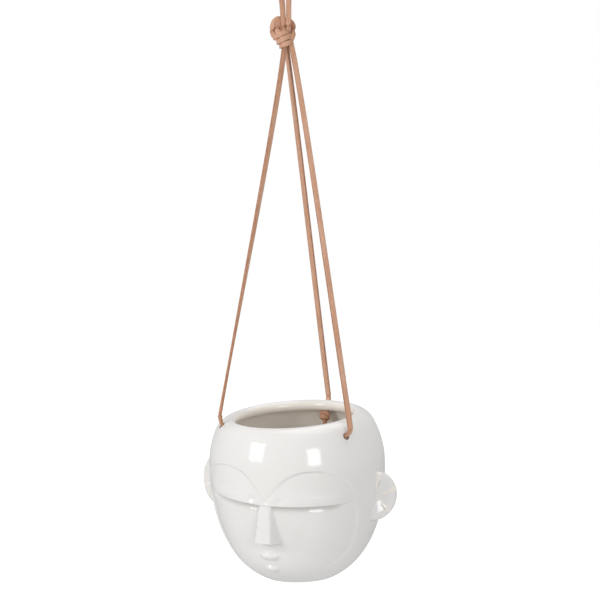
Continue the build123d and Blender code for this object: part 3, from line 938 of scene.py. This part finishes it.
def ear_plate(side):
    """One ear's plate in its place."""
    bpy.ops.mesh.primitive_uv_sphere_add(segments=EAR_SPOKES, ring_count=EAR_RINGS * 2, radius=1)
    ear = bpy.context.object
    ear.name = f"ear_{'left' if side < 0 else 'right'}"
    co = np.array([vertex.co for vertex in ear.data.vertices])
    share = np.sqrt(np.clip(1 - np.abs(co[:, 2]) ** 1.6, 0, 1))
    heading = np.arctan2(co[:, 1], co[:, 0])
    front = np.where(co[:, 2] > 0, 1.0, -1.0) * (np.abs(co[:, 2]) > 1e-6)
    x = EAR_HALF_WIDTH * share * np.cos(heading)
    z = EAR_HALF_HEIGHT * share * np.sin(heading)
    y = -front * ear_thickness(share)
    scoop = 0.0026 * smooth_step(1.05 - np.hypot((x - 0.0020) / 0.0150, z / 0.0165))
    y = y + np.where(front > 0, scoop, 0)
    proud, set_back = EAR_SEAT[side]
    place = (Matrix.Translation((BODY_RADIUS + proud, set_back, EAR_RISE))
             @ Matrix.Rotation(radians(EAR_SWEEP), 4, "Z") @ Matrix.Translation((-EAR_HALF_WIDTH, 0, 0))
             @ Matrix.Rotation(radians(EAR_LEAN), 4, "Y"))
    for vertex, point in zip(ear.data.vertices, np.column_stack([x, y, z])):
        set_in_place = place @ Vector(point)
        across, rise = leaned(side * set_in_place.x, set_in_place.z)
        vertex.co = (across, set_in_place.y - KNOT_Y, rise + FOOT_Z)
    finish_surface(ear)
    return ear


def combine(target, tool, operation):
    """Boolean one closed mesh with another, and delete the tool."""
    modifier = target.modifiers.new(operation.lower(), "BOOLEAN")
    modifier.operation = operation
    modifier.solver = "EXACT"
    modifier.object = tool
    make_active(target)
    bpy.ops.object.modifier_apply(modifier=modifier.name)
    bpy.data.objects.remove(tool)


for side in (-1, 1):
    ear = ear_plate(side)
    combine(pot, ear, "UNION")
print("pot with ears", len(pot.data.polygons), "faces")

# %% Lace holes
HOLE_RADIUS = 0.0033
CUTTER_LENGTH = 0.022
CUTTER_OUTWARD = 0.0125


def hole_cutter(side):
    """A round cutter along one lace's way through the wall."""
    middle, outward = (Vector(value) for value in STOPPERS[side])
    outward.normalize()
    bpy.ops.mesh.primitive_cylinder_add(vertices=40, radius=HOLE_RADIUS, depth=CUTTER_LENGTH,
                                        end_fill_type="NGON")
    cutter = bpy.context.object
    cutter.rotation_mode = "QUATERNION"
    cutter.rotation_quaternion = outward.to_track_quat("Z", "Y")
    cutter.location = middle + outward * CUTTER_OUTWARD
    bpy.ops.object.transform_apply(location=True, rotation=True, scale=True)
    return cutter


for side in LEG_ROUTES:
    combine(pot, hole_cutter(side), "DIFFERENCE")
finish_surface(pot, 40)
pot.data.materials.clear()
pot.data.materials.append(glaze)
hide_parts("pot")
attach(pot, "planter")
pot.data.calc_loop_triangles()
print("finished pot", len(pot.data.loop_triangles), "triangles")

# %% [markdown]
# ## Floor, light and background
#
# The product is shot against white, between two tall soft boxes that show as two bright windows on the
# forehead. The light is stronger from the viewer's left, and the floor is far below, as under a hook.

# %% Floor and world
FLOOR_GLOW = 0.62
WORLD_STRENGTH = 0.6


def white_stage():
    """A pale floor, and a world that looks white to the camera but lights softly."""
    bpy.ops.mesh.primitive_plane_add(size=14, location=(0, 2, FOOT_Z - 0.75))
    floor = bpy.context.object
    floor.name = "floor"
    material, tree, surface = new_material("pale_floor")
    surface.inputs["Roughness"].default_value = 0.9
    tree.links.new(ramp(tree, grain_noise(tree, 3, 2), [(0.3, 0.80, 0.80, 0.80), (0.7, 0.82, 0.82, 0.82)]),
                   surface.inputs["Base Color"])
    glow = tree.nodes.new("ShaderNodeMath")
    glow.operation = "MULTIPLY"
    glow.inputs[1].default_value = FLOOR_GLOW
    tree.links.new(tree.nodes.new("ShaderNodeLightPath").outputs["Is Camera Ray"], glow.inputs[0])
    surface.inputs["Emission Color"].default_value = (1, 1, 1, 1)
    tree.links.new(glow.outputs[0], surface.inputs["Emission Strength"])
    floor.data.materials.append(material)
    world = bpy.data.worlds.new("studio")
    bpy.context.scene.world = world
    world.use_nodes = True
    tree = world.node_tree
    ground = tree.nodes["Background"]
    ground.inputs["Color"].default_value = (1, 1, 1, 1)
    ground.inputs["Strength"].default_value = WORLD_STRENGTH
    seen = tree.nodes.new("ShaderNodeBackground")
    seen.inputs["Color"].default_value = (1, 1, 1, 1)
    seen.inputs["Strength"].default_value = 1.0
    path = tree.nodes.new("ShaderNodeLightPath")
    mix = tree.nodes.new("ShaderNodeMixShader")
    tree.links.new(path.outputs["Is Camera Ray"], mix.inputs["Fac"])
    tree.links.new(ground.outputs[0], mix.inputs[1])
    tree.links.new(seen.outputs[0], mix.inputs[2])
    tree.links.new(mix.outputs[0], tree.nodes["World Output"].inputs["Surface"])


def soft_box(name, azimuth, elevation, distance, width, height, energy):
    """A soft box that points at the head."""
    bpy.ops.object.light_add(type="AREA", location=from_head(azimuth, elevation, distance))
    lamp = bpy.context.object
    lamp.name = name
    lamp.data.shape = "RECTANGLE"
    lamp.data.size, lamp.data.size_y = width, height
    lamp.data.energy = energy
    lamp.rotation_euler = (BODY_CENTRE - lamp.location).to_track_quat("-Z", "Y").to_euler()
    return lamp


white_stage()
soft_box("left_soft_box", -33.8, 16.5, 1.6, 0.50, 0.56, 10)
soft_box("right_soft_box", 43, 11.5, 1.6, 0.46, 0.58, 5.5)
soft_box("overhead_fill", 160, 72, 1.6, 1.2, 1.2, 7)
bpy.context.scene.view_settings.view_transform = "Standard"

# %% Finish
for piece in bpy.data.objects:
    piece.select_set(False)
